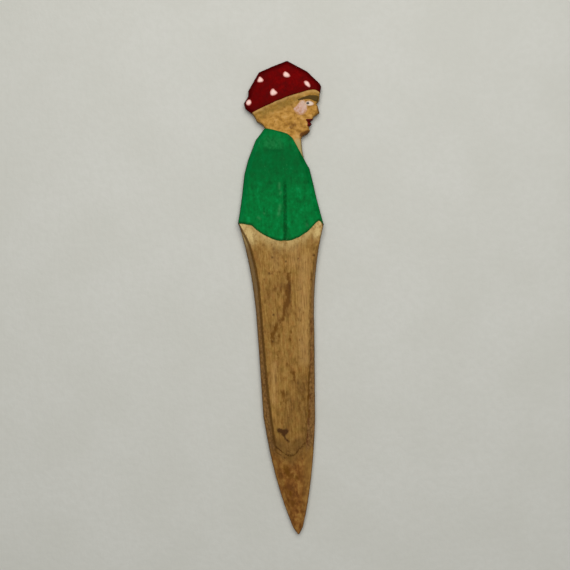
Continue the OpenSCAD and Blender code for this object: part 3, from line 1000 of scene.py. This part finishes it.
def wood_margins(m, seam, vee, body, left, fibres, clumps):
    """Greyer bevelled margins beside the panel, the left one darker with painted shade, browner and gritty
    towards the point.
    """
    margin = m.span(seam, 0.1, 0.5) * (body * m.span(vee, 1, 5, 1, 0.15))
    high = m.span(m.along("Y"), -20, 8)
    # Painted shade on the left margin, whose bevel faces away from the light.
    near_left = margin * left * m.span(clumps, 0.4, 0.6, 0.85, 0.6)
    m.tint(near_left, m.mix(high, srgb(120, 88, 50), srgb(116, 95, 66)))
    near_right = margin * (1 - left)
    rind = m.mix(high * m.span(seam, 0.6, 1.5), srgb(130, 96, 56), srgb(138, 114, 80))
    m.tint(near_right * m.span(fibres, 0.35, 0.6, 0.85, 0.6), rind)
    low = (1 - high) * m.span(clumps, 0.42, 0.56, 0, 0.8) * m.span(seam, 1.8, 0.6)
    m.tint(near_right * low, srgb(112, 68, 34))
    grit = m.noise(0.8, 1.2, 3, 0.6)
    lower = margin * (1 - high)
    m.tint(lower * m.span(grit, 0.5, 0.64, 0, 0.6), srgb(84, 46, 14))
    m.tint(lower * m.span(grit, 0.48, 0.36, 0, 0.5), srgb(170, 122, 68))


def wood_head(m, head, mottle):
    """Painted light beside the hem, at the waist's corners and on the bare chamfer of the chest, a pale
    band under the rim, and the warm, darkened wood of the head.
    """
    # Painted light beside the hem and at the waist's corners, with the pale band under the rim.
    pale = m.mark("pale") * m.span(mottle, 0.32, 0.6, 0.3, 0.9)
    m.tint(pale, srgb(210, 182, 120))
    skin = m.ramp(m.noise(2.1, 1.6, 3, 0.55), (0.34, srgb(154, 106, 36)), (0.46, srgb(188, 136, 56)),
                  (0.56, srgb(206, 152, 72)), (0.68, srgb(220, 170, 96)))
    m.tint(head * 0.8, skin)
    m.tint(m.mark("hair") * m.span(mottle, 0.35, 0.6, 0.45, 0.85), srgb(132, 104, 38))
    # Painted light on the chest's bare chamfer, and the pale band under the rim, warmer on the head.
    m.tint(pale * (head * 0.8), srgb(206, 168, 108))
    # Painted light on the bare chamfer at the front of the chest.
    m.tint(m.mark("chest") * 0.8, srgb(170, 158, 104))


def wood_hollows_and_streak(m, ragged, clumps):
    """Dirt and painted shade in the face's cuts and hollows, and the long dark streak down the panel."""
    # Painted shade and dirt, darkest under the chin and in the face's cuts.
    dirt_and_shade = m.mark("dirt_and_shade") + ragged * 0.7 - 0.08
    m.tint(m.span(dirt_and_shade, 0.1, 0.9, 0, 0.9), srgb(98, 54, 14))
    streak = m.mark("streak") + (clumps - 0.5) * 2.2
    m.tint(m.span(streak, 0.15, 0.85, 0, 0.95), srgb(104, 64, 4))


def wood_cuts(m, seam, vee, body, left, ragged, mottle):
    """Painted shade and dirt in the groove along the panel, heaviest on the left, and in the chevron cut.
    """
    gap = abs(seam - 0.1 + ragged * 0.5)
    broken = m.span(m.noise(0.8, 2.6, 2), 0.42, 0.6, 0.1, 0.6)
    strength = (left * m.span(mottle, 0.3, 0.5, 0.65, 1)).or_more(broken) * m.span(vee, 3, -2, 0.12, 1)
    # Painted shade in the groove beside the panel's step, stronger on the left side, away from the light.
    m.tint(m.span(gap, 0.8, 0.25) * strength * (body * 0.85), srgb(84, 54, 14))
    # Painted shade and dirt in the chevron cut.
    scratch = m.span(abs(vee + ragged * 2.4), 0.7, 0.1) * m.span(seam, 0.3, -0.3, 0, 0.85)
    m.tint(scratch * m.span(mottle, 0.56, 0.46, 0.1, 1), srgb(84, 54, 16))


def bare_wood():
    """Handled, slightly dirty pale wood with its grain lengthwise."""
    m = Nodes("bare_wood")
    fibres = m.noise(0.4, 6, 4, 0.55)
    patches = m.noise(4, 8, 3, 0.6)
    mottle = m.noise(1.1, 1.7, 4, 0.6)
    clumps = m.noise(1.2, 2.6, 4, 0.6)
    ragged = (m.noise(0.55, 0.7, 3) - 0.5) * 1.2
    vee, seam, head = m.mark("vee"), m.mark("seam"), m.mark("head")
    body = m.span(head, 0.5, 0.1)
    left = m.span(m.along("X"), -3, -5)
    wood_tone(m, fibres, patches, mottle, clumps)
    wood_point(m, vee, ragged, mottle)
    wood_margins(m, seam, vee, body, left, fibres, clumps)
    wood_head(m, head, mottle)
    wood_hollows_and_streak(m, ragged, clumps)
    wood_cuts(m, seam, vee, body, left, ragged, mottle)
    m.tint(m.span(m.mark("stain") + ragged * 0.8, 0.2, 1.15, 0, 0.95), srgb(70, 38, 2))
    # Darker at the outline: painted shade on the edges, with grime.
    m.tint(m.span(m.mark("edge"), 0.6, 0.05, 0, 0.55), srgb(88, 62, 36))
    relief = m.bump(mottle, 0.05, 0.7, m.bump(fibres, 0.06))
    return m.finish(m.span(patches, 0.3, 0.7, 0.55, 0.7), relief, 0.12)


def green_paint():
    """Brushed green craft paint, thin over the wood's grain and worn through in specks, with painted light
    and shade on its chamfers, hem, crack and chest.
    """
    m = Nodes("green_paint")
    strokes = m.noise(1, 7, 3, 0.5)
    cloud = m.noise(2.6, 3.4, 3, 0.55)
    fine = m.noise(0.9, 1, 3, 0.6)
    tone = strokes * 0.2 + cloud * 0.5 + fine * 0.3
    m.colour = m.ramp(tone, (0.36, srgb(0, 94, 39)), (0.46, srgb(0, 112, 49)),
                      (0.54, srgb(1, 123, 56)), (0.66, srgb(10, 141, 74)))
    y = m.along("Y")
    m.tint(m.span(y, 40, 54) * m.span(y, 63, 58, 0.3, 1) * 0.6, srgb(0, 88, 38))
    # Painted light on the chest's upper facet and painted shade under its crease.
    m.tint(m.mark("patch") * m.span(fine, 0.35, 0.6, 0.1, 0.7), srgb(30, 124, 64))
    m.tint(m.mark("crease_shade") * 0.45, srgb(0, 76, 32))
    edge, hem, crack = m.mark("edge"), m.mark("hem"), m.mark("crack")
    # Painted light on the left chamfer of the tunic.
    left_chamfer = m.span(edge, 2.1, 1.6) * m.span(edge, 0.1, 0.5) * m.span(m.along("X"), -3, -8)
    m.tint(left_chamfer * 0.35, srgb(8, 124, 66))
    # Painted shade on the tunic's outer edges and along the hem's lower edge.
    m.tint(m.span(edge, 0.4, 0.05, 0, 0.6), srgb(2, 60, 34))
    m.tint(m.span(hem + (fine - 0.5) * 0.8, 1.3, 0.3, 0, 0.7), srgb(4, 62, 20))
    m.tint(m.span(m.mark("neck"), 0.9, 0.1, 0, 0.5), srgb(2, 76, 34))
    # Painted shade in the crack.
    m.tint(m.span(crack * m.span(fine, 0.35, 0.55, 0.45, 1), 0.06, 0.85, 0, 0.8), srgb(0, 66, 22))
    specks = m.noise(0.5, 0.8, 2, 0.5)
    where = m.span(m.noise(4, 6, 2), 0.46, 0.62)
    near_crack = m.span(crack, 0.02, 0.3) * m.span(specks, 0.6, 0.7) * m.span(hem, 20, 8, 0, 0.8)
    worn = (m.span(specks, 0.66, 0.74) * where).or_more(near_crack)
    worn = worn.or_more(m.mark("worn") * m.span(fine, 0.35, 0.6, 0.6, 1))
    m.tint(worn * 0.42, srgb(72, 152, 96))
    relief = m.bump(fine, 0.04, 0.8, m.bump(strokes, 0.05))
    return m.finish(m.span(cloud, 0.3, 0.7, 0.5, 0.65), relief, 0.03)


def red_paint():
    """Deep red craft paint on the cap, with painted shade over its chamfered edges and on its left side,
    and darker towards the rim.
    """
    m = Nodes("red_paint")
    cloud = m.noise(2.6, 2.2, 4, 0.6)
    strokes = m.noise(0.8, 1.2, 3, 0.6)
    tone = cloud * 0.6 + strokes * 0.4
    m.colour = m.ramp(tone, (0.34, srgb(86, 0, 0)), (0.5, srgb(108, 0, 1)), (0.66, srgb(126, 4, 4)))
    # Painted shade over the cap's chamfered edges.
    m.tint(m.span(m.mark("edge"), 2.4, 0.1, 0, 0.8), srgb(50, 0, 1))
    m.tint(m.span(m.mark("rim"), 3.4, 0.2, 0, 0.6), srgb(80, 4, 2))
    # Painted shade on the cap's left side.
    m.tint(m.span(m.along("X"), 4, -10, 0, 0.45), srgb(84, 0, 0))
    m.tint(m.span(m.noise(0.4, 0.5, 2), 0.68, 0.75) * 0.25, srgb(140, 40, 32))
    return m.finish(m.span(cloud, 0.3, 0.7, 0.5, 0.64), m.bump(strokes, 0.05), 0.02)


def dab_paint(name, middle, rim, grain, depth, roughness, gloss):
    """Thick craft paint that thins and takes on rim's colour towards the edge of the dab or stroke."""
    m = Nodes(name)
    mottle = m.noise(*grain, 3, 0.6)
    share = m.mark("share") + (mottle - 0.5) * 0.5
    m.colour = m.mix(m.span(share, 0.45, 1.0), middle, rim)
    m.tint(m.span(mottle, 0.55, 0.75, 0, 0.35), rim)
    return m.finish(m.span(mottle, 0.3, 0.7, roughness, roughness + 0.12), m.bump(mottle, depth), gloss)


def pink_paint():
    """Lilac-pink cheek, whiter towards the eye, thin enough at its edge for the wood to show."""
    m = Nodes("pink_paint")
    mottle = m.noise(0.9, 1, 4, 0.65)
    broad = m.noise(1.8, 1.6, 3, 0.6)
    m.colour = m.ramp(mottle, (0.36, srgb(190, 140, 108)), (0.5, srgb(206, 164, 144)),
                      (0.64, srgb(214, 180, 166)))
    m.tint(m.span(m.along("X") + m.along("Y") * 1.1, 92.5, 97.5, 0, 0.7), srgb(216, 190, 170))
    m.tint(m.span(m.mark("share") + (broad - 0.5), 0.66, 1.02, 0, 0.9), srgb(192, 140, 84))
    return m.finish(m.span(mottle, 0.3, 0.7, 0.5, 0.62), m.bump(mottle, 0.04), 0.15)


def lip_paint():
    """Dark red lips, nearly black in places, browner at their outline."""
    m = Nodes("lip_paint")
    mottle = m.noise(0.5, 0.5, 3, 0.6)
    m.colour = m.ramp(mottle, (0.35, srgb(52, 2, 0)), (0.55, srgb(92, 12, 6)), (0.7, srgb(120, 34, 20)))
    m.tint(m.span(m.mark("depth"), 0.15, -0.1, 0, 0.6), srgb(96, 52, 24))
    return m.finish(m.span(mottle, 0.3, 0.7, 0.45, 0.6), m.bump(mottle, 0.04), 0.08)


def build_materials():
    """Every material of the object, by slot name."""
    materials = {
        "bare_wood": bare_wood(),
        "green_paint": green_paint(),
        "red_paint": red_paint(),
        "pink_paint": pink_paint(),
        "lip_paint": lip_paint(),
    }
    fine = (0.6, 0.6)
    for name, middle, rim, grain, depth, roughness, gloss in (
        ("white_paint", srgb(252, 216, 206), srgb(216, 126, 116), fine, 0.06, 0.42, 0.25),
        ("eye_white_paint", srgb(226, 204, 184), srgb(190, 150, 118), fine, 0.03, 0.34, 0.4),
        ("black_paint", srgb(30, 22, 16), srgb(58, 44, 30), fine, 0.02, 0.3, 0.45),
        # Olive brown of the eyebrow, which also stands for the shade under the brow ridge.
        ("brown_paint", srgb(84, 62, 18), srgb(112, 84, 32), (0.5, 0.8), 0.06, 0.5, 0.1),
    ):
        materials[name] = dab_paint(name, middle, rim, grain, depth, roughness, gloss)
    return materials


def table_plastic():
    """Pale moulded table top with a fine pebbled grain."""
    m = Nodes("table_plastic")
    pebbles = m.noise(2.6, 2.6, 2, 0.5)
    waves = m.noise(30, 30, 2, 0.5)
    m.colour = m.mix(m.span(waves, 0.3, 0.7), srgb(206, 206, 198), srgb(210, 210, 203))
    m.tint(m.span(pebbles, 0.35, 0.65, 0, 0.35), srgb(203, 203, 195))
    return m.finish(0.55, m.bump(pebbles, 0.25, 0.5), 0.3)


# ---------------- floor, light and camera

def build_stage():
    """Plain pale table under the object."""
    reach, level = 2.0, CAD_LOW.z - 0.00002
    corners = [(x * reach, y * reach, level) for x, y in ((-1, -1), (1, -1), (1, 1), (-1, 1))]
    mesh = bpy.data.meshes.new("table_top")
    mesh.from_pydata(corners, [], [(0, 1, 2, 3)])
    mesh.materials.append(table_plastic())
    floor = bpy.data.objects.new("table_top", mesh)
    bpy.context.scene.collection.objects.link(floor)


def add_light(name, place, aim, size, power, colour):
    """Square area light, with its place and size in metres and its power in watts."""
    light = bpy.data.lights.new(name, "AREA")
    light.size = size
    light.energy = power
    light.color = colour
    lamp = bpy.data.objects.new(name, light)
    bpy.context.scene.collection.objects.link(lamp)
    lamp.location = place
    x, y, z = (p - a for p, a in zip(place, aim))
    lamp.rotation_euler = (math.atan2(math.hypot(x, y), z), 0, math.atan2(x, -y))


def build_light():
    """A soft key light from beyond the head, a broad ceiling light and a faint even surround."""
    world = bpy.data.worlds.new("surround")
    world.use_nodes = True
    surround = world.node_tree.nodes["Background"].inputs
    surround["Color"].default_value = (0.95, 0.98, 1, 1)
    surround["Strength"].default_value = 0.14
    bpy.context.scene.world = world
    add_light("key", (0.03, 0.24, 0.6), (0, 0.02, 0), 0.5, 2.75, (1, 0.985, 0.955))
    add_light("ceiling", (0, 0.3, 2.4), (0, 0, 0), 3, 18, (1, 0.99, 0.97))
    bpy.context.scene.view_settings.view_transform = "Standard"


def build_camera():
    """Looks straight down, turned so that the figure leans a little to the left."""
    roll, height, covered, sensor = math.radians(3.36), 0.45, 0.228, 36
    aside, ahead = -0.00116, 0.0052
    right = (math.cos(roll), -math.sin(roll))
    up = (math.sin(roll), math.cos(roll))
    x = (CAD_LOW.x + CAD_HIGH.x) / 2 + aside * right[0] + ahead * up[0]
    y = (CAD_LOW.y + CAD_HIGH.y) / 2 + aside * right[1] + ahead * up[1]
    data = bpy.data.cameras.new("camera")
    data.sensor_width = sensor
    data.lens = sensor * height / covered
    camera = bpy.data.objects.new("camera", data)
    camera.location = (x, y, CAD_HIGH.z + height)
    camera.rotation_euler = (0, 0, -roll)
    bpy.context.scene.collection.objects.link(camera)
    bpy.context.scene.camera = camera


materials = build_materials()
build_board(materials)
build_dabs(materials["white_paint"])
build_face_paint(materials)
build_stage()
build_light()
build_camera()
